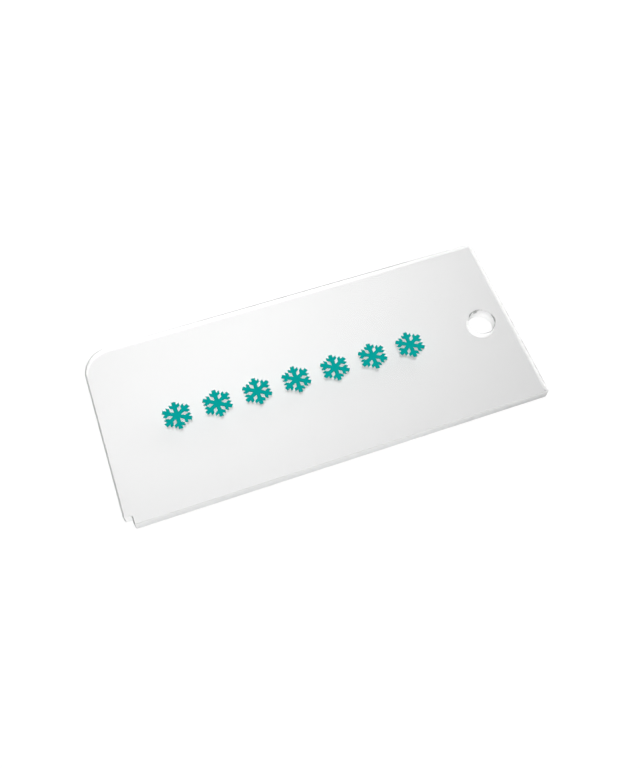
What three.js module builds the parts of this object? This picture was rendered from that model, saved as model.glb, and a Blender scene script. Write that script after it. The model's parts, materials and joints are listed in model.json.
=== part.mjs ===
// Ski wax scraper: a flat blade cut from clear acrylic sheet, with a printed row of snow crystals.
// Millimetres, +Z up. The blade lies flat with its printed face up, its length along X and the hanging
// hole near the +X end. The origin is the middle of the underside.

import * as THREE from "three";

// Blade
const LENGTH = 135;
const WIDTH = 60;
const THICKNESS = 4;
const CURVE_STEPS = 24;

// The one rounded corner, at -X +Y
const CORNER_RADIUS = 8.3;

// The small square step in the corner at -X -Y, which clears a ski's side wall
const NOTCH_ALONG = 2.5;
const NOTCH_ACROSS = 3;

// The round hole that the scraper hangs by, on the middle line
const HOLE_DIAMETER = 8.5;
const HOLE_FROM_END = 9.6;

// The printed row: snow crystals of raised ink on the upper face, one arm of each along Y
const PRINT_LENGTH = 85.5;
const PRINT_HEIGHT = 9.4;
const PRINT_CENTRE_X = -5.8;
const PRINT_CENTRE_Y = -0.5;
const INK_THICKNESS = 0.1;
const CRYSTAL_COUNT = 7;
const CRYSTAL_ARMS = 6;
const ARM_WIDTH = 1.3;
const BRANCH_WIDTH = 1.0;
const BRANCH_REACH = 1.1;
const BRANCH_START = 2.4;
const BRANCH_ANGLE = THREE.MathUtils.degToRad(60);

const CLEAR_ACRYLIC = { color: 0xe6eaea, roughness: 0.08, metalness: 0, transparent: true, opacity: 0.4 };
const TEAL_INK = { color: 0x06a099, roughness: 0.45, metalness: 0 };

function extruded(shape, depth) {
  return new THREE.ExtrudeGeometry(shape, { depth, bevelEnabled: false, curveSegments: CURVE_STEPS });
}

function namedMesh(name, geometry, finish) {
  const mesh = new THREE.Mesh(geometry, new THREE.MeshStandardMaterial(finish));
  mesh.name = name;
  return mesh;
}

// The blade's outline, anticlockwise from the notch, with the hanging hole
function bladeShape() {
  const endX = LENGTH / 2;
  const sideY = WIDTH / 2;
  const shape = new THREE.Shape();
  shape.moveTo(-endX + NOTCH_ALONG, -sideY);
  shape.lineTo(endX, -sideY);
  shape.lineTo(endX, sideY);
  shape.absarc(-endX + CORNER_RADIUS, sideY - CORNER_RADIUS, CORNER_RADIUS, Math.PI / 2, Math.PI, false);
  shape.lineTo(-endX, -sideY + NOTCH_ACROSS);
  shape.lineTo(-endX + NOTCH_ALONG, -sideY + NOTCH_ACROSS);
  shape.closePath();

  const hole = new THREE.Path();
  hole.absarc(endX - HOLE_FROM_END, 0, HOLE_DIAMETER / 2, 0, 2 * Math.PI, true);
  shape.holes.push(hole);
  return shape;
}

// One arm of a crystal along +X, from the fork with the arm before it to its tip and back,
// with a slanted branch on each side
function armPoints(radius) {
  const half = ARM_WIDTH / 2;
  const fork = half / Math.tan(Math.PI / CRYSTAL_ARMS);
  const branchFoot = BRANCH_WIDTH / Math.sin(BRANCH_ANGLE);
  const branchAlong = BRANCH_REACH * Math.cos(BRANCH_ANGLE);
  const branchAside = half + BRANCH_REACH * Math.sin(BRANCH_ANGLE);
  const side = [
    [BRANCH_START, half],
    [BRANCH_START + branchAlong, branchAside],
    [BRANCH_START + branchFoot + branchAlong, branchAside],
    [BRANCH_START + branchFoot, half],
    [radius, half],
  ];
  const below = side.map(([along, aside]) => new THREE.Vector2(along, -aside));
  const above = side.map(([along, aside]) => new THREE.Vector2(along, aside)).reverse();
  return [new THREE.Vector2(fork, -half), ...below, ...above];
}

function crystalShape(radius) {
  const middle = new THREE.Vector2(0, 0);
  const points = [];
  for (let arm = 0; arm < CRYSTAL_ARMS; arm += 1) {
    const turn = Math.PI / 2 + (arm * 2 * Math.PI) / CRYSTAL_ARMS;
    points.push(...armPoints(radius).map((point) => point.rotateAround(middle, turn)));
  }
  return new THREE.Shape(points);
}

function printedRow() {
  const row = new THREE.Group();
  row.position.set(PRINT_CENTRE_X, PRINT_CENTRE_Y, THICKNESS);
  const radius = PRINT_HEIGHT / 2;
  const armTurn = (2 * Math.PI) / CRYSTAL_ARMS;
  const crystalWidth = 2 * radius * Math.sin(armTurn) + ARM_WIDTH * Math.cos(armTurn);
  const pitch = (PRINT_LENGTH - crystalWidth) / (CRYSTAL_COUNT - 1);
  for (let index = 0; index < CRYSTAL_COUNT; index += 1) {
    const ink = extruded(crystalShape(radius), INK_THICKNESS);
    const crystal = namedMesh(`print_crystal_${index + 1}`, ink, TEAL_INK);
    crystal.position.x = (index - (CRYSTAL_COUNT - 1) / 2) * pitch;
    row.add(crystal);
  }
  return row;
}

const scraper = new THREE.Group();
scraper.add(namedMesh("scraper_blade", extruded(bladeShape(), THICKNESS), CLEAR_ACRYLIC));
scraper.add(printedRow());

export default scraper;
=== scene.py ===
"""Looks of the ski wax scraper: a clear acrylic blade with a printed row of snow crystals.

Metres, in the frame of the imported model: +X along the blade to the hanging hole, +Y to the side with the
rounded corner, +Z out of the printed face. The left end is at -X and the front at -Y.
"""

import json
import math

import bmesh
import bpy
from mathutils import Matrix, Vector


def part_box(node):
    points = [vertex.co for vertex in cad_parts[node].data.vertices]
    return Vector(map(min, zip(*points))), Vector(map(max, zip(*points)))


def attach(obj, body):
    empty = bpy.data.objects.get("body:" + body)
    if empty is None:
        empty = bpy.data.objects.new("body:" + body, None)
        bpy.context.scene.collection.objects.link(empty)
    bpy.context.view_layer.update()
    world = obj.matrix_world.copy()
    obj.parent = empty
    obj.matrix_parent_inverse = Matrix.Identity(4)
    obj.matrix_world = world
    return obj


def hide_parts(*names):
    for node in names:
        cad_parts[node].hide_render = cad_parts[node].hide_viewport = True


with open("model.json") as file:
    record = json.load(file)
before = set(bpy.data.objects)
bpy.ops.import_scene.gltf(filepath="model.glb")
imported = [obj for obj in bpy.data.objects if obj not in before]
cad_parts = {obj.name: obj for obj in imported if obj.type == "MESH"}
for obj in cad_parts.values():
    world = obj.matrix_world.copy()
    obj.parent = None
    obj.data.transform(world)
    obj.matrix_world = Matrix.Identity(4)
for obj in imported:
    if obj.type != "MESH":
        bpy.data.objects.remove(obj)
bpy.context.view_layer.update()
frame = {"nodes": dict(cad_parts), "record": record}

MM = 0.001
WHITE = (1, 1, 1, 1)
BLACK = (0, 0, 0, 1)

# Blade: its box and the hole's place come from the frame
BLADE_LOW, BLADE_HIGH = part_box("scraper_blade")
HOLE_BOX = frame["record"]["physics"]["openings"][0]["box_m"]
HOLE_CENTRE = (Vector(HOLE_BOX[0]) + Vector(HOLE_BOX[1])).xy / 2
HOLE_RADIUS = 4.25 * MM
CORNER_RADIUS = 8.3 * MM
CORNER_START_Y = BLADE_HIGH.y - CORNER_RADIUS
CORNER_END_X = BLADE_LOW.x + CORNER_RADIUS
NOTCH_ALONG = 2.5 * MM
NOTCH_ACROSS = 3 * MM
NOTCH_X = BLADE_LOW.x + NOTCH_ALONG
NOTCH_Y = BLADE_LOW.y + NOTCH_ACROSS
NOTCH_CORNER_RADIUS = 0.6 * MM
RIGHT_CORNER_RADIUS = 0.45 * MM

# How far the blade's edges are broken, and how soon the rounded corner's own break sets in
EDGE_BREAK = 0.4 * MM
FRONT_EDGE_BREAK = 0.12 * MM
LEFT_EDGE_BREAK = 0.53 * MM
CORNER_EDGE_BREAK = 0.6 * MM
CORNER_BREAK_RISE = 4
HOLE_EDGE_BREAK = 0.35 * MM

# Printed crystals
CRYSTAL_NAMES = sorted(name for name in frame["nodes"] if name.startswith("print_crystal"))
CRYSTAL_ARMS = 6
ARM_WIDTH = 1.3 * MM
BRANCH_WIDTH = 1.0 * MM
BRANCH_REACH = 1.1 * MM
BRANCH_START = 2.4 * MM
BRANCH_ANGLE = math.radians(60)
INK_CORNER_RADIUS = 0.1 * MM
INK_EDGE = 0.05 * MM
INK_FOOT = 0.01 * MM

# Longest step round an arc of the blade and round the ink's small corners, and steps over a broken edge
ARC_STEP = math.radians(4)
INK_ARC_STEP = math.radians(20)
EDGE_STEPS = 3


def rounded_outline(corners, arc_step):
    """Points and outward normals of an anticlockwise outline, from corners of (x, y, radius)."""
    rim = []
    befores = corners[-1:] + corners[:-1]
    afters = corners[1:] + corners[:1]
    for before, corner, after in zip(befores, corners, afters):
        here = Vector(corner[:2])
        radius = corner[2]
        way_in = (here - Vector(before[:2])).normalized()
        way_out = (Vector(after[:2]) - here).normalized()
        turn = math.atan2(way_in.x * way_out.y - way_in.y * way_out.x, way_in.dot(way_out))
        outward = Vector((way_in.y, -way_in.x))
        start = here - way_in * radius * math.tan(abs(turn) / 2)
        to_rim = outward * math.copysign(radius, turn)
        centre = start - to_rim
        steps = round(abs(turn) / arc_step)
        for step in range(steps + 1):
            part_turn = Matrix.Rotation(turn * step / steps, 2)
            rim.append((centre + part_turn @ to_rim, part_turn @ outward))
    return rim


def round_hole(centre, radius):
    """Points and normals of a hole's rim, clockwise, with the normals towards its middle."""
    rim = []
    steps = math.ceil(2 * math.pi / ARC_STEP)
    for step in range(steps):
        angle = -2 * math.pi * step / steps
        outward = Vector((math.cos(angle), math.sin(angle)))
        rim.append((centre + outward * radius, -outward))
    return rim


def edge_profile(low, high, low_round, high_round):
    """Rings of a slab's edge from its lower face to its upper one.

    A ring is its inset, its height, and how far its normal points sideways and up.
    """
    lower = []
    upper = []
    for step in range(EDGE_STEPS + 1):
        angle = math.pi / 2 * step / EDGE_STEPS
        side = math.sin(angle)
        up = math.cos(angle)
        lower.append((low_round * (1 - side), low + low_round * (1 - up), side, -up))
        upper.append((high_round * (1 - side), high - high_round * (1 - up), side, up))
    return lower + upper[::-1]


def neighbours(ring):
    """Each item of a closed ring with the one after it."""
    return zip(ring, ring[1:] + ring[:1])


def add_edge(mesh_builder, rim, edge, normals, rim_slot, wall_slot):
    """Adds the strips of one rim's edge and their normals, and gives its lowest and highest ring."""
    profiles = [edge(outward) for point, outward in rim]
    rings = []
    for level in zip(*profiles):
        ring = []
        for (point, outward), (inset, height, side, up) in zip(rim, level):
            ring.append(mesh_builder.verts.new((*(point - outward * inset), height)))
            normals.append((outward.x * side, outward.y * side, up))
        rings.append(ring)
    for strip, (lower, upper) in enumerate(zip(rings, rings[1:])):
        for (low, low_next), (high, high_next) in zip(neighbours(lower), neighbours(upper)):
            face = mesh_builder.faces.new((low, low_next, high_next, high))
            face.material_index = rim_slot if strip > EDGE_STEPS else wall_slot
    return rings[0], rings[-1]


def add_face(mesh_builder, rings, up, slot):
    """Fills a flat face between its outline and holes, turned up (1) or down (-1)."""
    edges = []
    for ring in rings:
        for pair in neighbours(ring):
            edges.append(mesh_builder.edges.get(pair))
    filled = bmesh.ops.triangle_fill(mesh_builder, edges=edges, use_beauty=True)
    for face in filled["geom"]:
        if isinstance(face, bmesh.types.BMFace):
            face.normal_update()
            if face.normal.z * up < 0:
                face.normal_flip()
            face.material_index = slot


def slab(name, rims, materials):
    """A closed flat slab with rounded edges, from its outline and holes.

    Each rim comes with a function that gives its edge's rings where it faces outward. The materials are
    those of the upper face, underside, upper rim and wall, or one for all.
    """
    slots = range(4) if len(materials) == 4 else (0, 0, 0, 0)
    upper_slot, under_slot, rim_slot, wall_slot = slots
    mesh_builder = bmesh.new()
    normals = []
    lowest_rings = []
    highest_rings = []
    for rim, edge in rims:
        lowest, highest = add_edge(mesh_builder, rim, edge, normals, rim_slot, wall_slot)
        lowest_rings.append(lowest)
        highest_rings.append(highest)
    add_face(mesh_builder, lowest_rings, -1, under_slot)
    add_face(mesh_builder, highest_rings, 1, upper_slot)
    mesh_builder.verts.index_update()
    mesh = bpy.data.meshes.new(name)
    mesh_builder.to_mesh(mesh)
    mesh_builder.free()
    mesh.shade_smooth()
    mesh.normals_split_custom_set_from_vertices(normals)
    piece = bpy.data.objects.new(name, mesh)
    bpy.context.scene.collection.objects.link(piece)
    for material in materials:
        mesh.materials.append(material)
    return piece


# Helpers for shader nodes


def new_material(name):
    """A new material with its node tree and its Principled shader."""
    material = bpy.data.materials.new(name)
    material.use_nodes = True
    return material, material.node_tree, material.node_tree.nodes["Principled BSDF"]


def set_inputs(node, values):
    """Sets a node's own sockets by name."""
    for name, value in values.items():
        node.inputs[name].default_value = value


def object_place(tree):
    """The place on the object, in its own frame."""
    return tree.nodes.new("ShaderNodeTexCoord").outputs["Object"]


def object_axes(tree):
    """The place on the object along X, Y and Z."""
    axes = tree.nodes.new("ShaderNodeSeparateXYZ")
    tree.links.new(object_place(tree), axes.inputs["Vector"])
    return axes.outputs["X"], axes.outputs["Y"], axes.outputs["Z"]


def noise(tree, spacing, turn=0.0, stretch=(1, 1, 1), detail=2.0, shift=(0, 0, 0)):
    """Noise on the object with features about spacing apart, longer along a stretched axis."""
    mapping = tree.nodes.new("ShaderNodeMapping")
    mapping.vector_type = "TEXTURE"
    scale = [spacing * times for times in stretch]
    set_inputs(mapping, {"Location": shift, "Rotation": (0, 0, turn), "Scale": scale})
    texture = tree.nodes.new("ShaderNodeTexNoise")
    set_inputs(texture, {"Scale": 1, "Detail": detail})
    tree.links.new(object_place(tree), mapping.inputs["Vector"])
    tree.links.new(mapping.outputs["Vector"], texture.inputs["Vector"])
    return texture.outputs["Fac"]


def remap(tree, value, from_low, from_high, to_low=0, to_high=1, shape="LINEAR"):
    """Maps a value's range to another, held inside it."""
    node = tree.nodes.new("ShaderNodeMapRange")
    node.interpolation_type = shape
    set_inputs(node, {"From Min": from_low, "From Max": from_high, "To Min": to_low, "To Max": to_high})
    tree.links.new(value, node.inputs["Value"])
    return node.outputs["Result"]


def fade(tree, value, place, span, start=0, end=1):
    """Goes from one level to another over a span, given as two distances from a place."""
    return remap(tree, value, place + span[0], place + span[1], start, end)


def combined(tree, operation, values):
    """Joins values one after the other by a maths operation."""
    total = values[0]
    for value in values[1:]:
        node = tree.nodes.new("ShaderNodeMath")
        node.operation = operation
        tree.links.new(total, node.inputs[0])
        tree.links.new(value, node.inputs[1])
        total = node.outputs[0]
    return total


def greatest(tree, *values):
    return combined(tree, "MAXIMUM", values)


def product(tree, *values):
    return combined(tree, "MULTIPLY", values)


def vector_value(tree, operation, vector, constant):
    """The distance or the dot product of a vector and a constant one."""
    node = tree.nodes.new("ShaderNodeVectorMath")
    node.operation = operation
    node.inputs[1].default_value = constant
    tree.links.new(vector, node.inputs[0])
    return node.outputs["Value"]


def blend(tree, share, first, second):
    """A colour between two."""
    node = tree.nodes.new("ShaderNodeMix")
    node.data_type = "RGBA"
    set_inputs(node, {"A": first, "B": second})
    tree.links.new(share, node.inputs["Factor"])
    return node.outputs["Result"]


def bump(tree, shader, height, depth, strength):
    """Bumps a shader's surface, and gives the bumped normal."""
    node = tree.nodes.new("ShaderNodeBump")
    set_inputs(node, {"Strength": strength, "Distance": depth})
    tree.links.new(height, node.inputs["Height"])
    tree.links.new(node.outputs["Normal"], shader.inputs["Normal"])
    return node.outputs["Normal"]


def let_light_through(tree, surface, lamp_share, scattered_share):
    """Lets shares of the lamps' and of scattered light pass straight through a clear surface."""
    path = tree.nodes.new("ShaderNodeLightPath")
    for ray, share in (("Is Shadow Ray", lamp_share), ("Is Diffuse Ray", scattered_share)):
        opening = tree.nodes.new("ShaderNodeBsdfTransparent")
        set_inputs(opening, {"Color": (share, share, share, 1)})
        choice = tree.nodes.new("ShaderNodeMixShader")
        tree.links.new(path.outputs[ray], choice.inputs["Fac"])
        tree.links.new(surface, choice.inputs[1])
        tree.links.new(opening.outputs["BSDF"], choice.inputs[2])
        surface = choice.outputs["Shader"]
    tree.links.new(surface, tree.nodes["Material Output"].inputs["Surface"])


# Polished faces: a scratch's length is in spacings, and its range is of the noise that draws it
ACRYLIC_IOR = 1.49
UPPER_COLOUR = (0.95, 0.952, 0.95, 1)
UPPER_COAT = 1.0
UPPER_SHINE = WHITE
UNDER_COLOUR = (0.59, 0.592, 0.59, 1)
UNDER_COAT = 0.0
UNDER_SHINE = BLACK
FACE_PASSES = 0.96
FACE_SCATTERED_PASSES = 0.935
FACE_ROUGHNESS = (0.015, 0.12)
SCRATCH_TURNS = (math.radians(8), math.radians(-24), math.radians(71))
SCRATCH_SPACING = 0.5 * MM
SCRATCH_LENGTH = 40
SCRATCH_RANGE = (0.74, 0.82)
SCRATCH_DEPTH = 0.01 * MM
SCRATCH_STRENGTH = 0.3


def acrylic_face(name, colour, coat, shine):
    """Polished clear sheet with faint hairline scratches from use."""
    material, tree, shader = new_material(name)
    set_inputs(shader, {
        "Base Color": colour,
        "Coat Weight": coat,
        "Specular Tint": shine,
        "Transmission Weight": 1,
        "IOR": ACRYLIC_IOR,
    })
    lines = []
    for turn in SCRATCH_TURNS:
        streaks = noise(tree, SCRATCH_SPACING, turn, (SCRATCH_LENGTH, 1, 1), detail=0)
        lines.append(remap(tree, streaks, *SCRATCH_RANGE))
    scratches = greatest(tree, *lines)
    tree.links.new(remap(tree, scratches, 0, 1, *FACE_ROUGHNESS), shader.inputs["Roughness"])
    bump(tree, shader, scratches, SCRATCH_DEPTH, SCRATCH_STRENGTH)
    # Clear shaders tint the light that they pass by the square root of their colour
    lamp_share = FACE_PASSES * math.sqrt(colour[0])
    let_light_through(tree, shader.outputs["BSDF"], lamp_share, FACE_SCATTERED_PASSES)
    return material


# Where painted shade lies on the edges: distances from the end, side, corner or middle that it fades at
LINE_ROUND_CORNER = (-1 * MM, 3 * MM)
LINE_PAST_CORNER = (-0.2 * MM, 0.5 * MM)
LINE_PAST_NOTCH = (0.05 * MM, 0.35 * MM)
NOTCH_SIDE_X = (0.2 * MM, 0.5 * MM)
NOTCH_SIDE_Y = (-0.6 * MM, -0.2 * MM)
BACK_SIDE = (-1 * MM, -0.3 * MM)
FRONT_HALF = (-2 * MM, 8 * MM)
HOLE_REACH = (2 * MM, 3 * MM)

# Sides of the hole: a direction, and the shares of the radius along it where the side starts and is full
HOLE_BACK_RIGHT = (Vector((1, 1)), 0.72, 0.9)
HOLE_BACK = (Vector((-0.4, 1)), 0.8, 0.92)
HOLE_FRONT = (Vector((0.3, -1)), 0.3, 0.8)

# Patches that break up the painted shade, on the rim and on the hole's wall below it
SHADE_PATCH_SPACING = 3 * MM
SHADE_PATCH_DETAIL = 4
SHADE_PATCH_SHIFT = (5 * MM, 13 * MM, 0)
SHADE_PATCH_RANGE = (0.48, 0.62)

# Painted shade of the line along the left end, on its straight stretch and round the corner
LEFT_END_SHADE = 0.54
CORNER_SHADE = 0.42


def left_shade_line(tree, x, y):
    """How much painted shade the left end's edge gets: most on the straight, less round the corner, and
    none past it.
    """
    level = fade(tree, y, CORNER_START_Y, LINE_ROUND_CORNER, LEFT_END_SHADE, CORNER_SHADE)
    before_back = fade(tree, x, CORNER_END_X, LINE_PAST_CORNER, 1, 0)
    past_notch = fade(tree, y, NOTCH_Y, LINE_PAST_NOTCH)
    return product(tree, level, before_back, past_notch)


def notch_side(tree, x, y):
    """1 on the notch's short edge that faces the left, 0 on the other edges."""
    near_edge = fade(tree, x, NOTCH_X, NOTCH_SIDE_X, 1, 0)
    in_front = fade(tree, y, NOTCH_Y, NOTCH_SIDE_Y, 1, 0)
    return product(tree, near_edge, in_front)


def near_hole(tree):
    """1 on the hanging hole's edge, 0 on the blade's outline."""
    distance = vector_value(tree, "DISTANCE", object_place(tree), (*HOLE_CENTRE, 0))
    return fade(tree, distance, HOLE_RADIUS, HOLE_REACH, 1, 0)


def hole_side(tree, side, most=1):
    """The level on one side of the hanging hole, which fades to 0 round the rest of it."""
    heading, start, full = side
    direction = heading.normalized()
    along = vector_value(tree, "DOT_PRODUCT", object_place(tree), (*direction, 0))
    span = (start * HOLE_RADIUS, full * HOLE_RADIUS)
    return fade(tree, along, HOLE_CENTRE.dot(direction), span, 0, most)


def shade_patch_noise(tree):
    return noise(tree, SHADE_PATCH_SPACING, detail=SHADE_PATCH_DETAIL, shift=SHADE_PATCH_SHIFT)


# Rim: the broken edge round the printed face
RIM_CLEAR = (0.95, 0.95, 0.95, 1)
# The dark grey below is painted shade, laid on the rim's lines and patches in place of shade from the light
RIM_SHADED = (0.12, 0.12, 0.12, 1)
RIM_TRANSMISSION = 0.3
RIM_PASSES = 0.8
RIM_ROUGHNESS = (0.3, 0.55)
RIM_GRAIN = 0.15 * MM
RIM_GRAIN_DEPTH = 0.02 * MM
RIM_GRAIN_STRENGTH = 0.4
LINE_PATCHES = (0.3, 0.7)
LINE_LEAST = 0.8
BACK_SHADE_STARTS = (10 * MM, 55 * MM)
BACK_SHADE_STOPS = (-30 * MM, -5 * MM)
BACK_ENDS_SHADE = 0.1
RIGHT_RIM = (-2 * MM, -1 * MM)
RIGHT_OFF_FRONT = (1 * MM, 2 * MM)
RIGHT_OFF_BACK = (-2 * MM, -1 * MM)
RIGHT_END_SHADE = 0.4
RIGHT_END_LEAST = 0.45
RIGHT_END_BACK_SHARE = 0.4
HOLE_RIM_SHADE = 0.75
HOLE_FRONT_SHADE = 0.5


def painted_rim_shade(tree):
    """How much painted shade the rim gets: in lines along the left end and back, and in patches at the
    right end and hole.
    """
    x, y, _ = object_axes(tree)
    patches = shade_patch_noise(tree)
    back_edge = product(
        tree,
        fade(tree, y, BLADE_HIGH.y, BACK_SIDE),
        fade(tree, x, BLADE_LOW.x, BACK_SHADE_STARTS, BACK_ENDS_SHADE, 1),
        fade(tree, x, BLADE_HIGH.x, BACK_SHADE_STOPS, 1, BACK_ENDS_SHADE),
    )
    lines = product(
        tree,
        greatest(tree, left_shade_line(tree, x, y), notch_side(tree, x, y), back_edge),
        remap(tree, patches, *LINE_PATCHES, LINE_LEAST, 1),
    )
    right_end = product(
        tree,
        fade(tree, x, BLADE_HIGH.x, RIGHT_RIM, 0, RIGHT_END_SHADE),
        fade(tree, y, BLADE_LOW.y, RIGHT_OFF_FRONT),
        fade(tree, y, BLADE_HIGH.y, RIGHT_OFF_BACK, 1, 0),
        fade(tree, y, 0, FRONT_HALF, 1, RIGHT_END_BACK_SHARE),
        remap(tree, patches, *SHADE_PATCH_RANGE, RIGHT_END_LEAST, 1),
    )
    hole_shade_patches = remap(tree, patches, *SHADE_PATCH_RANGE, 0, HOLE_RIM_SHADE)
    hole_front = hole_side(tree, HOLE_FRONT, HOLE_FRONT_SHADE)
    hole = product(tree, near_hole(tree), greatest(tree, hole_shade_patches, hole_front))
    return greatest(tree, lines, right_end, hole)


def acrylic_rim():
    """The broken edge round the printed face: matt, and grey where shade is painted on it."""
    material, tree, shader = new_material("clear_acrylic_rim")
    set_inputs(shader, {"Transmission Weight": RIM_TRANSMISSION, "IOR": ACRYLIC_IOR})
    rim_shade_level = painted_rim_shade(tree)
    # Painted shade: the rim's colour goes to dark grey along its lines and in patches
    tree.links.new(blend(tree, rim_shade_level, RIM_CLEAR, RIM_SHADED), shader.inputs["Base Color"])
    tree.links.new(remap(tree, rim_shade_level, 0, 1, *RIM_ROUGHNESS), shader.inputs["Roughness"])
    bump(tree, shader, noise(tree, RIM_GRAIN), RIM_GRAIN_DEPTH, RIM_GRAIN_STRENGTH)
    let_light_through(tree, shader.outputs["BSDF"], RIM_PASSES, RIM_PASSES)
    return material


# Wall: the sawn edge of the sheet, with painted shade along its front and back measured from the middle
WALL_COLOUR = (0.985, 0.987, 0.985, 1)
# The grey below is painted shade, laid on the wall in place of shade from the light
WALL_SHADED = (0.45, 0.45, 0.448, 1)
WALL_FROST = 0.985
WALL_PASSES = 0.9
WALL_ROUGHNESS = (0.3, 0.5)
MARK_SPACING = 0.35 * MM
MARK_LENGTH = 30
MARK_RANGE = (0.3, 0.7)
MARK_DEPTH = 0.03 * MM
MARK_STRENGTH = 0.35
SHADE_HEIGHT = 6 * MM
SHADE_SPACING = 2 * MM
SHADE_DETAIL = 3
SHADE_RANGE = (0.35, 0.65)
SHADE_LEAST = 0.75
FRONT_WALL = (1 * MM, 3 * MM)
FRONT_SHADE_FROM = 15 * MM
FRONT_SHADE = 0.36
FRONT_SHADE_MOST = 0.99
BACK_SHADE_SPAN = (12 * MM, 50 * MM)
BACK_SHADE = 0.62
RIGHT_WALL = (-3 * MM, -1 * MM)
RIGHT_END_WALL_SHADE = 0.37
RIGHT_WALL_BACK_SHARE = 0.7
LEFT_WALL = (0.2 * MM, 0.6 * MM)
LEFT_LINE_SPAN = (-1 * MM, -EDGE_BREAK)
LEFT_LINE_SHADE = 0.55
HOLE_SHADE_SPAN = (-2.3 * MM, -0.9 * MM)
HOLE_WALL_SHADE = 0.26
HOLE_ARC_SPAN = (-1.8 * MM, -1.2 * MM)


def outer_wall_shade(tree, x, y, z):
    """How much painted shade the front, back and right end get: more low down, and in the front half of the
    end.
    """
    front = product(
        tree,
        fade(tree, y, BLADE_LOW.y, FRONT_WALL, 1, 0),
        remap(tree, x, FRONT_SHADE_FROM, BLADE_HIGH.x, FRONT_SHADE, FRONT_SHADE_MOST),
    )
    back = product(
        tree,
        fade(tree, y, BLADE_HIGH.y, BACK_SIDE),
        fade(tree, x, 0, BACK_SHADE_SPAN, 0, BACK_SHADE),
    )
    right_end = product(
        tree,
        fade(tree, x, BLADE_HIGH.x, RIGHT_WALL, 0, RIGHT_END_WALL_SHADE),
        fade(tree, y, 0, FRONT_HALF, 1, RIGHT_WALL_BACK_SHARE),
    )
    low_down = fade(tree, z, BLADE_LOW.z, (0, SHADE_HEIGHT), 1, 0)
    spots = noise(tree, SHADE_SPACING, detail=SHADE_DETAIL)
    patches = remap(tree, spots, *SHADE_RANGE, SHADE_LEAST, 1)
    return product(tree, greatest(tree, front, back, right_end), low_down, patches)


def left_end_wall_shade(tree, x, y, z):
    """How much painted shade the left end gets: all over on the straight and the notch, and high up round
    the corner.
    """
    under_rim = fade(tree, z, BLADE_HIGH.z, LEFT_LINE_SPAN, 0, LEFT_LINE_SHADE)
    line = product(tree, left_shade_line(tree, x, y), under_rim)
    straight = fade(tree, x, BLADE_LOW.x, LEFT_WALL, 1, 0)
    return greatest(tree, line, straight, notch_side(tree, x, y))


def hole_wall_shade(tree, z):
    """How much painted shade the hanging hole's wall gets: high up at the back right, and in a patchy arc
    at the back.
    """
    back_right = product(
        tree,
        fade(tree, z, BLADE_HIGH.z, HOLE_SHADE_SPAN, 0, HOLE_WALL_SHADE),
        hole_side(tree, HOLE_BACK_RIGHT),
    )
    arc = product(
        tree,
        fade(tree, z, BLADE_HIGH.z, HOLE_ARC_SPAN),
        hole_side(tree, HOLE_BACK),
        remap(tree, shade_patch_noise(tree), *SHADE_PATCH_RANGE),
    )
    return product(tree, near_hole(tree), greatest(tree, back_right, arc))


def acrylic_wall():
    """The sawn edge of the sheet: frosted, so that it glows, with fine marks across it from the cutter."""
    material, tree, shader = new_material("clear_acrylic_wall")
    set_inputs(shader, {"Transmission Weight": 1, "IOR": ACRYLIC_IOR})
    x, y, z = object_axes(tree)
    wall_shade_level = greatest(
        tree,
        outer_wall_shade(tree, x, y, z),
        left_end_wall_shade(tree, x, y, z),
        hole_wall_shade(tree, z),
    )
    # Painted shade: the wall's colour goes to grey where the masks above say
    colour = blend(tree, wall_shade_level, WALL_COLOUR, WALL_SHADED)
    tree.links.new(colour, shader.inputs["Base Color"])
    marks = noise(tree, MARK_SPACING, stretch=(1, 1, MARK_LENGTH))
    tree.links.new(remap(tree, marks, *MARK_RANGE, *WALL_ROUGHNESS), shader.inputs["Roughness"])
    frost = tree.nodes.new("ShaderNodeBsdfTranslucent")
    tree.links.new(colour, frost.inputs["Color"])
    tree.links.new(bump(tree, shader, marks, MARK_DEPTH, MARK_STRENGTH), frost.inputs["Normal"])
    mixed = tree.nodes.new("ShaderNodeMixShader")
    set_inputs(mixed, {"Fac": WALL_FROST})
    tree.links.new(shader.outputs["BSDF"], mixed.inputs[1])
    tree.links.new(frost.outputs["BSDF"], mixed.inputs[2])
    let_light_through(tree, mixed.outputs["Shader"], WALL_PASSES, WALL_PASSES)
    return material


# Ink
INK_THIN = (0.001, 0.369, 0.341, 1)
INK_THICK = (0.0005, 0.332, 0.306, 1)
INK_SHINE = 0.02
INK_ROUGHNESS = (0.7, 0.55)
MOTTLE_SPACING = 0.8 * MM
MOTTLE_DETAIL = 4
MOTTLE_RANGE = (0.3, 0.7)
INK_GRAIN = 0.2 * MM
INK_GRAIN_DEPTH = 0.01 * MM
INK_GRAIN_STRENGTH = 0.3


def teal_ink():
    """Screen-printed ink: satin, slightly mottled where it lies thicker or thinner."""
    material, tree, shader = new_material("teal_ink")
    set_inputs(shader, {"Specular IOR Level": INK_SHINE})
    mottle = noise(tree, MOTTLE_SPACING, detail=MOTTLE_DETAIL)
    colour = blend(tree, remap(tree, mottle, *MOTTLE_RANGE), INK_THIN, INK_THICK)
    tree.links.new(colour, shader.inputs["Base Color"])
    tree.links.new(remap(tree, mottle, *MOTTLE_RANGE, *INK_ROUGHNESS), shader.inputs["Roughness"])
    bump(tree, shader, noise(tree, INK_GRAIN), INK_GRAIN_DEPTH, INK_GRAIN_STRENGTH)
    return material


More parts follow.
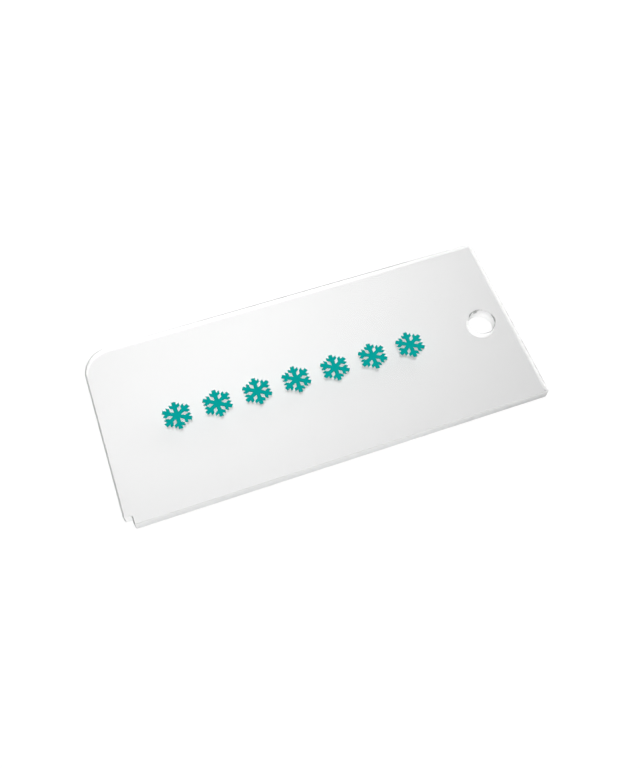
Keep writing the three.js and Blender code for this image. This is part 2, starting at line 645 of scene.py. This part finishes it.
def blade_edge(outward):
    """The blade's edge where it faces outward: almost sharp in front, broken most at the rounded corner."""
    to_front = max(-outward.y, 0)
    to_back = max(outward.y, 0)
    to_left = max(-outward.x, 0)
    to_corner = min(CORNER_BREAK_RISE * to_left * to_back, 1)
    edge_break = EDGE_BREAK
    edge_break += (FRONT_EDGE_BREAK - EDGE_BREAK) * to_front
    edge_break += (LEFT_EDGE_BREAK - EDGE_BREAK) * to_left
    edge_break += (CORNER_EDGE_BREAK - EDGE_BREAK) * to_corner
    return edge_profile(BLADE_LOW.z, BLADE_HIGH.z, edge_break, edge_break)


def hole_edge(outward):
    return edge_profile(BLADE_LOW.z, BLADE_HIGH.z, HOLE_EDGE_BREAK, HOLE_EDGE_BREAK)


def blade():
    """The blade, cut from one clear sheet."""
    corners = [
        (NOTCH_X, BLADE_LOW.y, NOTCH_CORNER_RADIUS),
        (BLADE_HIGH.x, BLADE_LOW.y, RIGHT_CORNER_RADIUS),
        (BLADE_HIGH.x, BLADE_HIGH.y, RIGHT_CORNER_RADIUS),
        (BLADE_LOW.x, BLADE_HIGH.y, CORNER_RADIUS),
        (BLADE_LOW.x, NOTCH_Y, NOTCH_CORNER_RADIUS),
        (NOTCH_X, NOTCH_Y, NOTCH_CORNER_RADIUS),
    ]
    outline = rounded_outline(corners, ARC_STEP)
    rims = [(outline, blade_edge), (round_hole(HOLE_CENTRE, HOLE_RADIUS), hole_edge)]
    materials = [
        acrylic_face("clear_acrylic_upper", UPPER_COLOUR, UPPER_COAT, UPPER_SHINE),
        acrylic_face("clear_acrylic_underside", UNDER_COLOUR, UNDER_COAT, UNDER_SHINE),
        acrylic_rim(),
        acrylic_wall(),
    ]
    piece = slab("blade", rims, materials)
    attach(piece, "root")
    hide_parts("scraper_blade")


def arm_corners(radius):
    """Corners of one crystal arm along +X, from the fork before it to its tip and back."""
    half = ARM_WIDTH / 2
    fork = half / math.tan(math.pi / CRYSTAL_ARMS)
    foot = BRANCH_WIDTH / math.sin(BRANCH_ANGLE)
    along = BRANCH_REACH * math.cos(BRANCH_ANGLE)
    aside = half + BRANCH_REACH * math.sin(BRANCH_ANGLE)
    side = [
        (BRANCH_START, half),
        (BRANCH_START + along, aside),
        (BRANCH_START + foot + along, aside),
        (BRANCH_START + foot, half),
        (radius, half),
    ]
    return [(fork, -half)] + [(x, -y) for x, y in side] + [(x, y) for x, y in reversed(side)]


def crystal(name, ink):
    """One snow crystal of raised ink, in the place and at the size of its CAD node."""
    low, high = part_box(name)
    middle = ((low + high) / 2).xy
    radius = (high.y - low.y) / 2
    corners = []
    for arm in range(CRYSTAL_ARMS):
        turn = Matrix.Rotation(math.pi / 2 + 2 * math.pi * arm / CRYSTAL_ARMS, 2)
        for point in arm_corners(radius):
            corners.append((*(middle + turn @ Vector(point)), INK_CORNER_RADIUS))

    def ink_edge(outward):
        return edge_profile(low.z + INK_FOOT, high.z, INK_FOOT, INK_EDGE)

    piece = slab(name + "_ink", [(rounded_outline(corners, INK_ARC_STEP), ink_edge)], [ink])
    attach(piece, "root")
    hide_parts(name)


# Camera: fitted to the blade's edges in the 640 by 768 photograph
CAMERA_PLACE = Vector((-47.92, -124.80, 248.46)) * MM
CAMERA_TILT = math.radians(27.928)
CAMERA_ROLL = math.radians(-1.211)
CAMERA_HEADING = math.radians(-19.681)
FOCAL_PIXELS = 889.7
FRAME_HEIGHT = 768
SENSOR = 36.0


def camera():
    """The photograph's viewpoint and lens."""
    lens = bpy.data.cameras.new("camera")
    lens.sensor_width = SENSOR
    lens.lens = FOCAL_PIXELS * SENSOR / FRAME_HEIGHT
    view = bpy.data.objects.new("camera", lens)
    view.location = CAMERA_PLACE
    view.rotation_euler = (CAMERA_TILT, CAMERA_ROLL, CAMERA_HEADING)
    bpy.context.scene.collection.objects.link(view)
    bpy.context.scene.camera = view


def seen_ray(tree):
    """1 for rays from the camera, straight or by gloss or glass, 0 for light on matt and frosted faces."""
    path = tree.nodes.new("ShaderNodeLightPath")
    gloss_or_glass = greatest(tree, path.outputs["Is Glossy Ray"], path.outputs["Is Transmission Ray"])
    not_frosted = combined(tree, "SUBTRACT", (gloss_or_glass, path.outputs["Is Diffuse Ray"]))
    return greatest(tree, path.outputs["Is Camera Ray"], not_frosted)


# Floor
FLOOR_HALF = 1.5
FLOOR_GAP = 0.02 * MM
FLOOR_COLOUR = 0.95
FLOOR_ROUGHNESS = 0.9
FLOOR_LIFT = 0.1


def floor():
    """A white table, lifted to full white where it is seen, which keeps the soft shadow of the blade."""
    mesh = bpy.data.meshes.new("floor")
    half = FLOOR_HALF
    corners = [(-half, -half, 0), (half, -half, 0), (half, half, 0), (-half, half, 0)]
    mesh.from_pydata(corners, [], [(0, 1, 2, 3)])
    plane = bpy.data.objects.new("floor", mesh)
    plane.location.z = -FLOOR_GAP
    bpy.context.scene.collection.objects.link(plane)
    material, tree, shader = new_material("white_table")
    set_inputs(shader, {
        "Base Color": (FLOOR_COLOUR, FLOOR_COLOUR, FLOOR_COLOUR, 1),
        "Roughness": FLOOR_ROUGHNESS,
        "Specular IOR Level": 0,
        "Emission Color": WHITE,
    })
    tree.links.new(remap(tree, seen_ray(tree), 0, 1, 0, FLOOR_LIFT), shader.inputs["Emission Strength"])
    mesh.materials.append(material)


# Sky: its base level, how that rises along each axis, and the most that it reaches
SKY_LIGHT = 0.58
SKY_SIDE = (1.85, 2.05, -2.4)
SKY_MOST = 3.4


def sky():
    """White where it is seen. Its light comes from low down, and most of it from the back right."""
    world = bpy.data.worlds.new("studio")
    bpy.context.scene.world = world
    world.use_nodes = True
    tree = world.node_tree
    direction = tree.nodes.new("ShaderNodeTexCoord").outputs["Generated"]
    side = vector_value(tree, "DOT_PRODUCT", direction, SKY_SIDE)
    light = remap(tree, side, -SKY_LIGHT, SKY_MOST - SKY_LIGHT, 0, SKY_MOST)
    level = tree.nodes.new("ShaderNodeMix")
    set_inputs(level, {"B": 1})
    tree.links.new(seen_ray(tree), level.inputs["Factor"])
    tree.links.new(light, level.inputs["A"])
    background = tree.nodes["Background"]
    set_inputs(background, {"Color": WHITE})
    tree.links.new(level.outputs["Result"], background.inputs["Strength"])


# Key lamp
KEY_FROM = Vector((-0.025, -0.079, 1))
KEY_ANGLE = math.radians(9)
KEY_LIGHT = 0.73


def key_lamp():
    """A distant lamp overhead: it gives the print its close shadow on the table, and no mirror image."""
    data = bpy.data.lights.new("key_lamp", "SUN")
    data.angle = KEY_ANGLE
    data.energy = KEY_LIGHT * math.pi
    lamp = bpy.data.objects.new("key_lamp", data)
    lamp.rotation_euler = KEY_FROM.to_track_quat("Z", "Y").to_euler()
    lamp.visible_glossy = False
    lamp.visible_transmission = False
    bpy.context.scene.collection.objects.link(lamp)


# Reflector: places on its card run from 0 to 1 both ways
REFLECTOR_PLACE = (0.063, 0.616, 1.0)
REFLECTOR_LENGTH = 1.836
REFLECTOR_WIDTH = 1.298
REFLECTOR_TURN = math.radians(26.4)
REFLECTOR_RADIANCE = 4.0
CARD_MIDDLE = 0.5


def reflector():
    """An oval card overhead, brightest in its middle, which shows in the polished face alone."""
    data = bpy.data.lights.new("reflector", "AREA")
    data.shape = "RECTANGLE"
    data.size = REFLECTOR_LENGTH
    data.size_y = REFLECTOR_WIDTH
    data.energy = REFLECTOR_RADIANCE * math.pi * REFLECTOR_LENGTH * REFLECTOR_WIDTH
    data.use_nodes = True
    tree = data.node_tree
    place = tree.nodes.new("ShaderNodeNewGeometry").outputs["Parametric"]
    from_middle = vector_value(tree, "DISTANCE", place, (CARD_MIDDLE, CARD_MIDDLE, 0))
    strength = remap(tree, from_middle, CARD_MIDDLE, 0, shape="SMOOTHSTEP")
    tree.links.new(strength, tree.nodes["Emission"].inputs["Strength"])
    card = bpy.data.objects.new("reflector", data)
    card.location = REFLECTOR_PLACE
    card.rotation_euler.z = REFLECTOR_TURN
    card.visible_camera = False
    card.visible_diffuse = False
    bpy.context.scene.collection.objects.link(card)


# Enough bounces for light inside the clear sheet
LIGHT_BOUNCES = 32

blade()
ink = teal_ink()
for crystal_name in CRYSTAL_NAMES:
    crystal(crystal_name, ink)
camera()
floor()
sky()
key_lamp()
reflector()
cycles = bpy.context.scene.cycles
cycles.max_bounces = LIGHT_BOUNCES
cycles.glossy_bounces = LIGHT_BOUNCES
cycles.transmission_bounces = LIGHT_BOUNCES
bpy.context.scene.view_settings.view_transform = "Standard"
